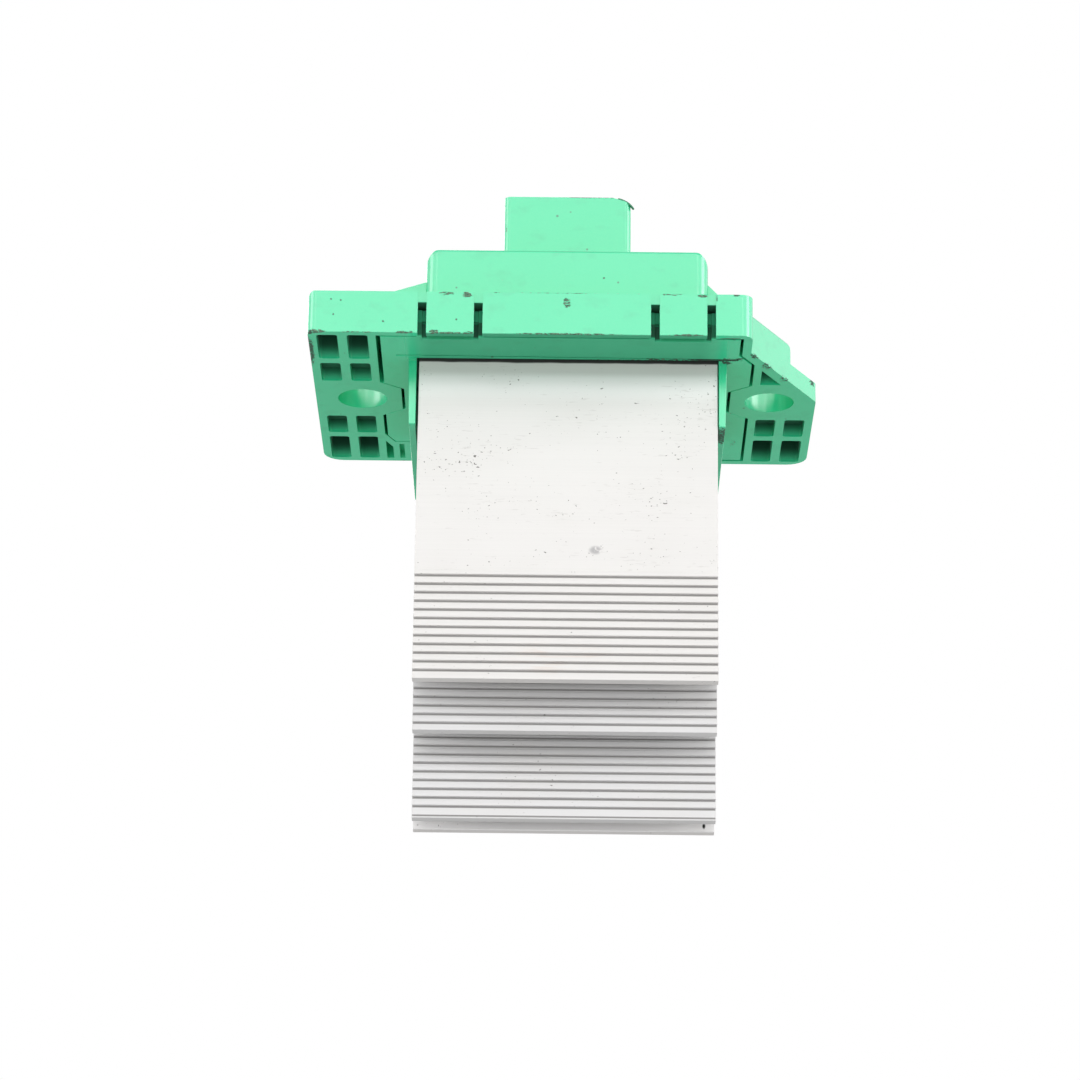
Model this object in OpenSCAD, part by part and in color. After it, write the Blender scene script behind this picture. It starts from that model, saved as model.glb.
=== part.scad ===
// Blower speed module for a vehicle heater: a moulded housing with a plug socket and a
// screw flange, a carrier that snaps into the flange's skirt, and a finned heat sink that
// hangs below it in the air stream.
// Millimetres. +Z points to the plug and -Y to the front skirt. The origin lies midway
// between the two screw holes, on the seating plane of the flange.

/* [Flange] */
// Distance between the two screw holes
hole_spacing = 60; // [54:0.5:72]
// Diameter of the screw holes
hole_d = 7.25; // [5:0.05:8]
// From a screw hole's centre to the flange's end
ear_reach = 6.85; // [6:0.05:9]
// Thickness of the flange around the screw holes
ear_h = 2.95; // [2.4:0.05:3.6]
// Width of the recess for a screw head
recess_w = 15.5; // [13:0.1:18]
// Radius at the recess's upper edges
recess_r = 1.5; // [0.4:0.1:2.4]
// Height of the skirt
flange_h = 6.35; // [5.8:0.05:8]
// Thickness of the flange's roof
flange_roof = 1.6; // [1:0.05:2]
// Thickness of the skirt
skirt_t = 1.25; // [1:0.05:1.6]
// How far the cut front corner sets the skirt back from the flange's end
cut_inset = 10.35; // [8:0.05:11]
// Length of the skirt's side before the slanted wall
cut_side = 6.2; // [5:0.1:9]
// Where the slanted wall stops, in front of the screw hole's centre
cut_stop = 0.5; // [0:0.1:3]
// Thickness of the slanted wall
cut_t = 1.65; // [1.2:0.05:2.2]
// Radius of the slanted wall's top edge
cut_edge_r = 0.9; // [0.3:0.1:1.4]
// Radius of the skirt's front left corner
left_r = 1.2; // [0.8:0.1:2]
// Radius of the skirt's front right corner
right_r = 1.65; // [0.8:0.05:2]
// Radius of the flange's back corners
back_r = 3; // [1:0.1:4]
// From a screw hole's centre to the carrier well
well_offset = 2.8; // [2:0.05:3.4]
// How far a screw boss reaches in from the hole's centre
boss_reach = 5.8; // [5.2:0.05:6.4]
// Width of a screw boss at its face
boss_face = 8; // [7:0.1:9]
// Width of a screw boss at its root
boss_root = 12.8; // [11:0.1:14]

/* [Keying corner] */
// From the line of screw holes to the start of the back left corner's slope
key_start = 13.9; // [12:0.1:15]
// Length of the slope
key_slope = 3.2; // [2:0.1:3.6]
// Width of the slope
key_cut = 1.4; // [1:0.1:2.4]
// Width of the whole corner
key_w = 3.9; // [3.8:0.05:4.1]
// Web behind the slope, from front to back
key_web = 2.9; // [2:0.1:3.2]
// Width of the deep pocket in the corner
key_pocket_w = 1.05; // [0.8:0.05:1.2]
// Rib between the corner's two pockets
key_rib = 0.95; // [0.8:0.05:1.1]
// Width of the shallow pocket in the corner
key_groove_w = 0.75; // [0.5:0.05:0.9]
// Depth of the shallow pocket
key_groove_depth = 1.2; // [0.6:0.1:2]

/* [Coring pockets] */
// Width of a pocket
pocket_w = 2.97; // [2:0.01:3.2]
// Length of the front and back rows of pockets
pocket_l = 8.7; // [6:0.1:10]
// Rib between two pockets of a row
pocket_rib = 1.36; // [1:0.02:2]
// Rib between two rows of pockets
row_rib = 1.65; // [1:0.05:2.4]
// Wall between a pocket and the flange's edge
pocket_wall = 1.2; // [1:0.05:1.6]
// From the line of screw holes to the nearest pockets
pocket_clear = 6.8; // [6:0.1:7.6]
// Skin left above the pockets
pocket_skin = 0.85; // [0.6:0.05:1.2]
// Corner radius of a pocket
pocket_r = 0.45; // [0.2:0.05:0.8]

/* [Snap tongues] */
// From the middle to a tongue's centre
tongue_x = 16.6; // [14:0.1:18]
// Width of a tongue
tongue_w = 6.75; // [5:0.05:8]
// Width of the slots beside a tongue
slot_w = 1.25; // [0.8:0.05:1.6]
// Height of the slots
slot_h = 4.75; // [3.6:0.05:4.8]
// Depth of the shallow channel above a slot
channel_depth = 0.3; // [0.2:0.05:0.8]
// How far the hook of a tongue reaches inwards
hook_reach = 1.1; // [0.9:0.05:1.3]
// Height of the hook's holding edge above the seating plane
hook_h = 2.35; // [2:0.05:2.8]
// Clearance around the hook in the carrier
hook_clear = 0.15; // [0.1:0.01:0.2]
// Height of the hook's sloped side
hook_slope = 1.5; // [0.8:0.05:1.7]

/* [Box] */
// Width of the raised box
box_w = 40.7; // [38:0.1:46]
// Depth of the raised box
box_d = 38; // [37:0.1:42]
// Height of the box's top above the seating plane
box_top = 15.7; // [14.8:0.1:20]
// Wall of the box
box_t = 1.5; // [1.2:0.05:1.8]
// Roof of the box
box_roof = 1.5; // [1.2:0.05:1.8]
// Radius of the box's upright edges
box_r = 1.7; // [1.3:0.1:3]
// Radius of the top edges along the box's two ends
box_end_r = 2.3; // [0.4:0.1:2.4]
// Radius of the top edges along the box's front and back
box_front_r = 0.4; // [0.2:0.1:1.2]
// Height at which a gusset meets the box
gusset_top = 11.2; // [8:0.1:13]
// Thickness of a gusset
gusset_t = 1.4; // [1:0.1:2]
// Length of the three long gussets
gusset_l = 15.2; // [8:0.1:15.8]
// Length of the short gusset beside the cut corner
gusset_short = 4.6; // [3:0.1:5.4]

/* [Socket] */
// Width of the plug socket
socket_w = 18.7; // [18:0.1:24]
// Depth of the plug socket
socket_d = 14; // [13:0.1:18]
// Height of the socket above the box
socket_h = 14.05; // [12:0.05:18]
// Wall of the socket
socket_t = 1.4; // [1.2:0.05:1.6]
// Radius of the socket's upright edges
socket_r = 0.9; // [0.5:0.1:1.4]
// Height of the socket's floor above the box
socket_floor = 0.8; // [0.6:0.1:2]
// Width of the lock nose on the socket's back
nose_w = 5; // [3:0.1:7]
// Reach of the lock nose
nose_reach = 1.3; // [0.8:0.1:1.8]
// Height of the lock nose
nose_h = 3.6; // [2.4:0.1:5]
// From the socket's mouth down to the lock nose
nose_drop = 3.6; // [2:0.1:5]
// Width of the two coding ribs in the socket
code_rib_w = 1.2; // [0.8:0.1:1.6]
// Reach of the two coding ribs
code_rib_reach = 0.8; // [0.5:0.1:1]
// From the middle to a coding rib
code_rib_x = 5; // [4:0.1:6]

/* [Terminals] */
// Width of a power blade
blade_w = 4.6; // [4:0.1:4.8]
// Thickness of every terminal
blade_t = 0.8; // [0.6:0.05:1]
// From the middle to a power blade
blade_x = 5.1; // [5:0.05:5.2]
// Width of a signal pin
pin_w = 1; // [0.8:0.1:1.2]
// From the middle to a signal pin
pin_x = 1.15; // [1.1:0.05:1.2]
// From the board's front edge to the row of terminals
blade_inset = 2; // [1.6:0.1:2.4]
// Height of a terminal above the socket's floor
blade_h = 8.6; // [6:0.1:9]
// Width of a power blade's stem on the board
stem_w = 2.4; // [1.6:0.1:2.6]
// Width of a signal pin's stem on the board
pin_stem_w = 0.8; // [0.6:0.1:1]
// Height of a terminal's shoulder under the box's roof
shoulder_h = 1.4; // [1:0.1:2]
// How much the shoulder stands out on each side
shoulder_out = 0.25; // [0.2:0.05:0.35]
// Clearance around a terminal in the plastic and in the board
blade_clear = 0.1; // [0.05:0.01:0.15]

/* [Carrier] */
// Thickness of the carrier plate
carrier_t = 2; // [1.6:0.05:2.4]
// Gap between the carrier and the well
carrier_gap = 0.42; // [0.2:0.02:0.5]
// Height of the two side ears below the plate
side_ear_h = 10.1; // [6:0.05:14]
// Thickness of the side ears at the plate
side_ear_t = 1.2; // [1:0.02:1.8]
// Thickness of the side ears at their lower ends
side_ear_tip = 0.95; // [0.7:0.05:1]
// Depth of the side ears from front to back
side_ear_d = 30.7; // [24:0.1:34]
// Mean gap between the heat sink and an ear
ear_gap = 0.25; // [0.2:0.01:0.4]
// How far the carrier's opening sits to the left of the heat sink's middle
opening_off = 0.1; // [0:0.01:0.15]
// Width of the plate outside the ears
carrier_margin = 3.83; // [3.5:0.01:4.5]
// Gap between the outer fins and the carrier's opening
fin_gap = 0.5; // [0.3:0.05:0.8]
// Strip of plate between the opening and the left end of the fine groove in front of it
groove_left = 0.85; // [0.4:0.05:1.6]
// Strip between the opening and the right end of the groove
groove_right = 0.3; // [0.3:0.05:1.6]
// Width of the fine groove
groove_w = 0.3; // [0.15:0.05:0.4]
// Depth of the fine groove
groove_depth = 0.6; // [0.2:0.05:0.8]
// How far the groove runs past the ears
groove_past = 1.7; // [0.5:0.1:2]
// Gap between the heat sink's base plate and the rims
rim_clear = 1.93; // [0.5:0.01:3]
// Thickness of the carrier's front and back rims
rim_t = 1.4; // [1.2:0.05:1.6]
// Gap between the rims and the roof of the well
rim_gap = 0.55; // [0.15:0.05:0.8]
// How far a rim's lug stands back behind a tongue
lug_set = 0.2; // [0.1:0.05:0.3]
// Gap beside a tongue in the carrier's rim
lug_gap = 0.65; // [0.4:0.05:0.8]
// How far the plate's front left edge is set back for a wider slot
edge_relief = 0.2; // [0.1:0.05:0.4]

/* [Heat sink] */
// How far the heat sink sits off the middle
sink_x = 0.3; // [0:0.05:0.5]
// Depth over the outer fins
sink_d = 30.2; // [28:0.1:32]
// Depth of the base plate
base_d = 40; // [36:0.1:42]
// Thickness of a fin
fin_t = 1.8; // [1.4:0.05:2.2]
// Depth of the outer fins' tips below the seating plane
outer_tip = 48.35; // [44:0.05:52]
// Depth of the next fins' tips
second_tip = 54.15; // [50:0.05:60]
// Depth of the middle fins' tips
middle_tip = 65.35; // [58:0.05:75]
// Depth at which the serrations start
serration_start = 32.2; // [20:0.1:38]
// Distance from one serration to the next
serration_pitch = 1.285; // [1:0.005:2.4]
// Height of a serration along the fin
serration_w = 0.66; // [0.3:0.01:0.8]
// How far a serration stands out from the fin
serration_out = 0.3; // [0.1:0.02:0.5]
// Plain strip below the last serration of the outer fins
outer_land = 1.3; // [0.8:0.05:2.4]
// Plain strip below the last serration of the next fins
second_land = 1.17; // [0.8:0.05:2.4]
// Plain strip below the last serration of the middle fins
middle_land = 1.8; // [0.8:0.05:2.4]

/* [Electronics] */
// Thickness of the insulating pad
pad_t = 0.25; // [0.15:0.05:0.5]
// Margin of the pad around the transistors
pad_margin = 0.6; // [0.3:0.1:1]
// From the middle to a transistor
transistor_x = 9.7; // [9.5:0.05:10.2]
// Width of a transistor
transistor_w = 10; // [9:0.1:10.4]
// Length of a transistor's metal tab
tab_l = 15.4; // [14:0.1:15.8]
// Thickness of the tab
tab_t = 1.3; // [1:0.05:1.5]
// Hole in the tab
tab_hole_d = 3.6; // [3:0.1:4]
// Length of the moulded part of a transistor
mould_l = 9.2; // [8:0.1:9.6]
// Thickness of the moulded part above the tab
mould_t = 3.1; // [2.6:0.05:3.4]
// Distance between a transistor's leads
lead_pitch = 2.54; // [2.4:0.02:2.7]
// Width of a lead
lead_w = 0.8; // [0.5:0.05:0.9]
// Thickness of a lead
lead_t = 0.5; // [0.4:0.05:0.7]
// Length of a lead on the board
lead_lap = 2.6; // [1.6:0.1:3]
// Height of the leads above the tab's underside
lead_h = 2.5; // [2.4:0.05:2.7]
// Gap between a tab and the box's front wall
tab_clear = 0.9; // [0.8:0.05:1.2]
// Gap between a transistor and the board
board_gap = 1.8; // [1.2:0.1:2.2]
// Thickness of the circuit board
board_t = 1.2; // [0.8:0.1:1.6]
// Gap between the board and the box's wall
board_clear = 0.5; // [0.3:0.05:0.8]
// Diameter of the posts that hold the board
post_d = 3.2; // [2.6:0.1:3.4]
// Diameter of the pegs on the posts
peg_d = 1.8; // [1.4:0.1:2.2]
// Clearance around a peg in the board
peg_clear = 0.1; // [0.05:0.05:0.2]
// Gap between neighbouring parts on the board
chip_gap = 0.9; // [0.6:0.1:1.1]
// Width of the control chip
control_w = 8.7; // [7:0.1:9]
// Depth of the control chip's body
control_d = 4; // [3.5:0.1:4.2]
// Height of the control chip
control_h = 1.5; // [1.2:0.1:2]
// Distance between the control chip's feet
foot_pitch = 1.27; // [1:0.01:1.3]
// Width of a foot
foot_w = 0.45; // [0.3:0.05:0.6]
// Length of a foot
foot_l = 1; // [0.7:0.05:1.1]
// Thickness of a foot
foot_t = 0.25; // [0.2:0.05:0.4]
// Diameter of the capacitor's can
can_d = 6.3; // [5:0.1:6.4]
// Height of the capacitor's can
can_h = 4.6; // [3.8:0.1:5]
// Width of the capacitor's foot plate
can_foot_w = 6.6; // [6.5:0.1:7]
// Thickness of the capacitor's foot plate
can_foot_t = 0.7; // [0.5:0.1:0.8]
// Width of the shunt resistor
shunt_w = 6.4; // [5:0.1:6.6]
// Depth of the shunt resistor
shunt_d = 3.2; // [2.5:0.1:3.4]
// Height of the shunt resistor
shunt_h = 0.6; // [0.4:0.1:1]
// Width of the surge diode
diode_w = 5.6; // [4:0.1:6]
// Depth of the surge diode
diode_d = 4.2; // [3:0.1:4.4]
// Height of the surge diode
diode_h = 2.2; // [1.6:0.1:3]
// Width of a chip resistor
resistor_w = 1; // [0.8:0.05:1.2]
// Depth of a chip resistor
resistor_d = 1.7; // [1.2:0.1:1.8]
// Height of a chip resistor
resistor_h = 0.45; // [0.3:0.05:0.6]
// Width of a chip capacitor
ceramic_w = 1.2; // [0.8:0.05:1.3]
// Depth of a chip capacitor
ceramic_d = 1.6; // [1:0.1:1.8]
// Height of a chip capacitor
ceramic_h = 0.9; // [0.5:0.05:1.2]
// Thickness of the clamping spring
spring_t = 0.7; // [0.5:0.05:0.9]
// Width of the clamping spring
spring_w = 6.4; // [5.6:0.1:8]
// How deep the spring's middle dips
spring_dip = 1.2; // [0.8:0.05:1.4]
// Clearance of the spring's bends beside the transistors and the screw's head
spring_clear = 0.25; // [0.15:0.05:0.3]
// Diameter of the clamp screw
screw_d = 2.9; // [2.5:0.05:3]
// Diameter of the clamp screw's head
screw_head_d = 5.4; // [4.8:0.1:5.6]
// Height of the clamp screw's head
screw_head_h = 1.8; // [1.4:0.1:2.2]
// Metal left under the clamp screw's hole
screw_floor = 0.5; // [0.4:0.1:0.9]
// Clearance around the clamp screw
screw_clear = 0.05; // [0.03:0.01:0.1]

/* [Hidden] */
$fn = 48;
eps = 0.01;
mint = "#7cebb9";
aluminium = "#d9d8d4";
black_epoxy = "#2a2a2c";
tin = "#c9c9c6";
// Half sizes and levels of the flange
hole_x = hole_spacing / 2;
half_w = hole_x + ear_reach;
flange_d = base_d + 2 * (rim_clear + rim_t + carrier_gap + skirt_t);
half_d = flange_d / 2;
skirt_x = half_w - cut_inset;
well_x = hole_x - well_offset;
well_y = half_d - skirt_t;
well_top = flange_h - flange_roof;
boss_x = hole_x - boss_reach;
key_end = key_start + key_slope;
cut_from = [skirt_x, cut_side - half_d];
cut_to = [half_w, -cut_stop];
cut_dir = unit(cut_to - cut_from);
cut_in = [-cut_dir.y, cut_dir.x];
corner_steps = 6;
// Rows of pockets, front to back, each with its depth
front_row = pocket_wall - half_d;
back_row = half_d - pocket_wall;
deep_pocket = flange_h - flange_roof;
shallow_pocket = ear_h - pocket_skin;
pocket_rows = [[front_row, front_row + pocket_l, deep_pocket],
               [front_row + pocket_l + row_rib, -pocket_clear, shallow_pocket],
               [pocket_clear, back_row - pocket_l - row_rib, shallow_pocket],
               [back_row - pocket_l, back_row, deep_pocket]];
pocket_outer = half_w - pocket_wall;
pocket_columns = [pocket_outer - pocket_w, pocket_outer - 2 * pocket_w - pocket_rib];
// Heat sink and carrier
sink_w = 2 * (well_x - carrier_gap - carrier_margin - side_ear_t - ear_gap);
ear_in = sink_w / 2 + ear_gap;
ear_out = ear_in + side_ear_t;
opening_y = sink_d / 2 + fin_gap;
carrier_x = well_x - carrier_gap;
carrier_y = well_y - carrier_gap;
rim_x = skirt_x - skirt_t - carrier_gap;
hook_face = well_y - hook_reach - hook_clear;
opening_x = sink_x - opening_off;
base_bottom = carrier_t;
base_top = well_top;
fin_pitch = (sink_d - fin_t) / 5;
fins = [[outer_tip, outer_land], [second_tip, second_land], [middle_tip, middle_land],
        [middle_tip, middle_land], [second_tip, second_land], [outer_tip, outer_land]];
// Box, socket and what they hold
room_x = box_w / 2 - box_t;
room_y = box_d / 2 - box_t;
room_top = box_top - box_roof;
socket_top = box_top + socket_h;
cavity_floor = box_top + socket_floor;
tab_bottom = base_top + pad_t;
mould_bottom = tab_bottom + tab_t;
mould_top = mould_bottom + mould_t;
lead_bottom = tab_bottom + lead_h;
board_top = lead_bottom;
tab_front = tab_clear - room_y;
mould_back = tab_front + tab_l;
board_front = mould_back + board_gap;
board_back = room_y - board_clear;
board_x = room_x - board_clear;
blade_y = board_front + blade_inset;
post_inset = 1.8;
post_x = board_x - post_inset;
post_ys = [board_front + post_inset, board_back - post_inset];
peg_tail = 0.3;
parts_front = board_front + lead_lap + chip_gap;
parts_side = control_w / 2 + chip_gap;
spring_y = mould_back - mould_l / 2;
spring_bend = transistor_x - transistor_w / 2 - spring_clear;
spring_flat = (screw_head_d + spring_t + spring_clear) / 2;
spring_end = transistor_x + transistor_w / 2 - 2 * spring_clear;
seat_z = mould_top - spring_dip + spring_t;
screw_tail = 0.1;

function unit(v) = v / norm(v);

// Points of an arc that rounds the corner at b between a and c
function corner(a, b, c, r) =
    let (u = unit(a - b), v = unit(c - b), half = acos(u * v) / 2, middle = b + unit(u + v) * r / sin(half),
         from = b + u * r / tan(half) - middle, to = b + v * r / tan(half) - middle,
         start = atan2(from.y, from.x), turn = atan2(from.x * to.y - from.y * to.x, from * to))
    [for (i = [0:corner_steps])
        let (angle = start + turn * i / corner_steps)
        middle + r * [cos(angle), sin(angle)]];

// Outline with each corner rounded by its own radius
function rounded(points, radii) =
    let (n = len(points))
    [for (i = [0:n - 1]) each corner(points[(i + n - 1) % n], points[i], points[(i + 1) % n], radii[i])];

// Depth of the slanted wall's inner side, inset by t, at a given x
function cut_y(x, t) =
    let (p = cut_from + t * cut_in)
    p.y + (x - p.x) * cut_dir.y / cut_dir.x;

// Depth of the keying corner's slope at a given x
function key_y(x) = key_start + (x + well_x) * key_slope / key_cut;

// Outline of the carrier well, drawn in by a gap on every side and by a hairline along the slopes
function well_outline(gap) =
    let (x = well_x - gap, y = well_y - gap, side = skirt_x - skirt_t - gap, face = boss_x - gap,
         wall = cut_t + gap, root = (boss_root - gap) / 2, nose = (boss_face - gap) / 2, hair = gap / 4)
    [[-x, -y], [side, -y], [side, cut_y(side, wall)], [x, cut_y(x, wall)],
     [x, -root], [face, -nose], [face, nose], [x, root],
     [x, y], [key_w + hair - well_x, y],
     [key_w + hair - well_x, key_end - hair], [key_cut + hair - well_x, key_end - hair],
     [-x, key_y(-x - hair)],
     [-x, root], [-face, nose], [-face, -nose], [-x, -root]];

// One side of a serrated fin from its root down to its tip, as distances from the fin's middle
function fin_side(tip, land) =
    let (last = tip - land, count = floor((last - serration_w - serration_start) / serration_pitch))
    [for (i = [count:-1:0])
        let (low = last - i * serration_pitch, high = low - serration_w,
             face = fin_t / 2, out = face + serration_out)
        each [[face, -high], [out, -high], [out, -low], [face, -low]]];

// One fin of the heat sink's section, down its front side and up its back side
function fin_outline(i) =
    let (y = (i - (len(fins) - 1) / 2) * fin_pitch, half = fin_t / 2,
         tip = fins[i][0], side = fin_side(tip, fins[i][1]))
    concat([[y - half, base_bottom]], [for (p = side) [y - p.x, p.y]], [[y - half, -tip], [y + half, -tip]],
           [for (j = [len(side) - 1:-1:0]) [y + side[j].x, side[j].y]], [[y + half, base_bottom]]);

// Section of the heat sink: the base plate and every fin in one outline
function sink_outline() =
    concat([[base_d / 2, base_bottom], [base_d / 2, base_top],
            [-base_d / 2, base_top], [-base_d / 2, base_bottom]],
           [for (i = [0:len(fins) - 1]) each fin_outline(i)]);

module rounded_rect(w, d, r) {
    square([w - 2 * r, d], center = true);
    square([w, d - 2 * r], center = true);
    for (x = [-1, 1], y = [-1, 1])
        translate([x * (w / 2 - r), y * (d / 2 - r)])
            circle(r);
}

module block(low, high) {
    translate(low)
        cube(high - low);
}

// Upright section of the box with its two top corners rounded
module top_profile(w, r) {
    translate([-w / 2, 0])
        square([w, box_top - r]);
    translate([r - w / 2, 0])
        square([w - 2 * r, box_top]);
    for (x = [-1, 1])
        translate([x * (w / 2 - r), box_top - r])
            circle(r);
}

module raised_box() {
    intersection() {
        linear_extrude(box_top)
            rounded_rect(box_w, box_d, box_r);
        rotate([90, 0, 0])
            linear_extrude(2 * box_d, center = true)
                top_profile(box_w, box_end_r);
        rotate([90, 0, 90])
            linear_extrude(2 * box_w, center = true)
                top_profile(box_d, box_front_r);
    }
}

// Triangular rib from the box's side down to the flange
module gusset(side, back, length) {
    face = box_w / 2;
    far = face + length;
    near = face - box_t / 2;
    y = back > 0 ? box_d / 2 - box_r : gusset_t + box_r - box_d / 2;
    translate([0, y, 0])
        rotate([90, 0, 0])
            linear_extrude(gusset_t)
                polygon([[side * near, flange_h - eps], [side * far, flange_h - eps],
                         [side * face, gusset_top], [side * near, gusset_top]]);
}

// Wedge on the socket's back that a plug's latch snaps over
module lock_nose() {
    top = socket_top - nose_drop;
    translate([-nose_w / 2, socket_d / 2, 0])
        rotate([90, 0, 90])
            linear_extrude(nose_w)
                polygon([[-eps, top - nose_h], [nose_reach, top - nose_h],
                         [nose_reach, top - nose_h * 2 / 3], [-eps, top]]);
}

// Room above one screw ear for the screw's head, with rounded upper edges
module screw_recess() {
    wall = well_x + skirt_t;
    face = boss_x + skirt_t;
    past = half_w + skirt_t;
    translate([0, 0, ear_h])
        linear_extrude(flange_h)
            polygon([[face, -boss_face / 2], [wall, -boss_root / 2], [wall, -recess_w / 2],
                     [past, -recess_w / 2], [past, recess_w / 2], [wall, recess_w / 2],
                     [wall, boss_root / 2], [face, boss_face / 2]]);
    for (y = [-1, 1])
        translate([wall, y * (recess_w / 2 + recess_r), flange_h - recess_r])
            rotate([90, 0, 90])
                linear_extrude(past - wall)
                    difference() {
                        translate([y > 0 ? -recess_r : 0, 0])
                            square([recess_r, 2 * recess_r]);
                        circle(recess_r);
                    }
}

// What the rounding takes from the top edge of the slanted wall
module cut_edge() {
    translate([cut_from.x, cut_from.y, flange_h - cut_edge_r])
        rotate([0, 0, atan2(cut_dir.y, cut_dir.x)])
            rotate([90, 0, 90])
                linear_extrude(norm(cut_to - cut_from) + cut_edge_r)
                    difference() {
                        translate([-cut_edge_r, 0])
                            square(2 * cut_edge_r);
                        translate([cut_edge_r, 0])
                            circle(cut_edge_r);
                        translate([cut_edge_r, -cut_edge_r])
                            square([cut_edge_r, 3 * cut_edge_r]);
                    }
}

// Two pockets in the corner that keys the carrier
module key_pockets() {
    left = -well_x;
    right = left + key_pocket_w;
    groove = right + key_rib;
    translate([0, 0, -eps])
        linear_extrude(deep_pocket + eps)
            polygon([[left, key_y(left) + key_web], [right, key_y(right) + key_web],
                     [right, back_row], [left, back_row]]);
    block([groove, key_end + key_rib, -eps], [groove + key_groove_w, back_row, key_groove_depth]);
}

module pocket(x, row) {
    depth = row[2];
    translate([x + pocket_w / 2, (row[0] + row[1]) / 2, -eps])
        linear_extrude(depth + eps)
            rounded_rect(pocket_w, row[1] - row[0], pocket_r);
}

module pockets() {
    for (x = pocket_columns) {
        for (row = pocket_rows)
            mirror([1, 0, 0])
                pocket(x, row);
        for (i = [2, 3])
            pocket(x, pocket_rows[i]);
    }
    // Three-cornered pocket behind the slanted wall
    row = pocket_rows[1];
    x = pocket_columns[1];
    apex = cut_y(x, cut_t);
    far = x + (row[1] - apex) * cut_dir.x / cut_dir.y;
    translate([0, 0, -eps])
        linear_extrude(row[2] + eps)
            polygon([[x, apex], [far, row[1]], [x, row[1]]]);
}

// Two slots that free one tongue of the front skirt, with shallow channels above them
module tongue_slots(x) {
    for (side = [-1, 1]) {
        left = x + side * (tongue_w + slot_w) / 2 - slot_w / 2;
        block([left, -half_d - eps, -eps], [left + slot_w, eps - well_y, slot_h]);
        block([left, -half_d - eps, slot_h - eps], [left + slot_w, channel_depth - half_d, flange_h + eps]);
    }
}

// Catch on the inner face of one front tongue
module hook(x) {
    translate([x - tongue_w / 2, -well_y, 0])
        rotate([90, 0, 90])
            linear_extrude(tongue_w)
                polygon([[-eps, eps], [hook_reach, hook_slope], [hook_reach, hook_h], [-eps, hook_h]]);
}

module on_both_skirts() {
    for (turn = [0, 1])
        mirror([0, turn, 0])
            for (x = [-tongue_x, tongue_x])
                translate([x, 0, 0])
                    children();
}

module terminal_slots() {
    for (side = [-1, 1], place = [[blade_x, blade_w], [pin_x, pin_w]]) {
        x = side * place[0];
        w = place[1] / 2 + blade_clear;
        block([x - w, blade_y - blade_t / 2 - blade_clear, room_top - eps],
              [x + w, blade_y + blade_t / 2 + blade_clear, cavity_floor + eps]);
    }
}

module board_posts() {
    for (x = [-post_x, post_x], y = post_ys) {
        translate([x, y, board_top])
            cylinder(d = post_d, h = room_top - board_top + eps);
        translate([x, y, board_top - board_t - peg_tail])
            cylinder(d = peg_d, h = board_t + peg_tail + eps);
    }
}

module code_ribs() {
    for (x = [-code_rib_x, code_rib_x])
        block([x - code_rib_w / 2, -socket_d / 2 + socket_t - eps, cavity_floor - eps],
              [x + code_rib_w / 2, -socket_d / 2 + socket_t + code_rib_reach, socket_top - socket_floor]);
}

module housing() {
    corners = [[-half_w, -half_d], [skirt_x, -half_d], cut_from, cut_to, [half_w, half_d], [-half_w, half_d]];
    radii = [left_r, right_r, left_r / 2, left_r, back_r, back_r];
    color(mint) {
        difference() {
            union() {
                linear_extrude(flange_h)
                    polygon(rounded(corners, radii));
                raised_box();
                translate([0, 0, box_top - box_roof])
                    linear_extrude(socket_h + box_roof)
                        rounded_rect(socket_w, socket_d, socket_r);
                gusset(-1, -1, gusset_l);
                gusset(-1, 1, gusset_l);
                gusset(1, 1, gusset_l);
                gusset(1, -1, gusset_short);
                lock_nose();
            }
            translate([0, 0, -eps])
                linear_extrude(well_top + eps)
                    polygon(well_outline(0));
            block([-room_x, -room_y, well_top - eps], [room_x, room_y, room_top]);
            translate([0, 0, cavity_floor])
                linear_extrude(socket_h)
                    rounded_rect(socket_w - 2 * socket_t, socket_d - 2 * socket_t, socket_r / 2);
            terminal_slots();
            for (side = [0, 1])
                mirror([side, 0, 0]) {
                    translate([hole_x, 0, -eps])
                        cylinder(d = hole_d, h = flange_h + 2 * eps);
                    screw_recess();
                }
            cut_edge();
            pockets();
            key_pockets();
            on_both_skirts()
                tongue_slots(0);
        }
        on_both_skirts()
            hook(0);
        board_posts();
        code_ribs();
    }
}

// Upright rim along one long side of the carrier, with room for the hooks of both tongues
module carrier_rim() {
    lug_w = tongue_w + 2 * lug_gap;
    difference() {
        block([-rim_x, -carrier_y, 0], [rim_x, rim_t - carrier_y, well_top - rim_gap]);
        for (x = [-tongue_x, tongue_x])
            block([x - lug_w / 2, -well_y, carrier_t], [x + lug_w / 2, lug_set - carrier_y, flange_h]);
    }
}

// Drafted ear beside the heat sink, on the side given by its sign
module side_ear(side) {
    translate([opening_x, side_ear_d / 2, 0])
        rotate([90, 0, 0])
            linear_extrude(side_ear_d)
                polygon([[side * ear_in, carrier_t], [side * ear_in, -side_ear_h],
                         [side * (ear_in + side_ear_tip), -side_ear_h],
                         [side * ear_out, 0], [side * ear_out, carrier_t]]);
}

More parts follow.
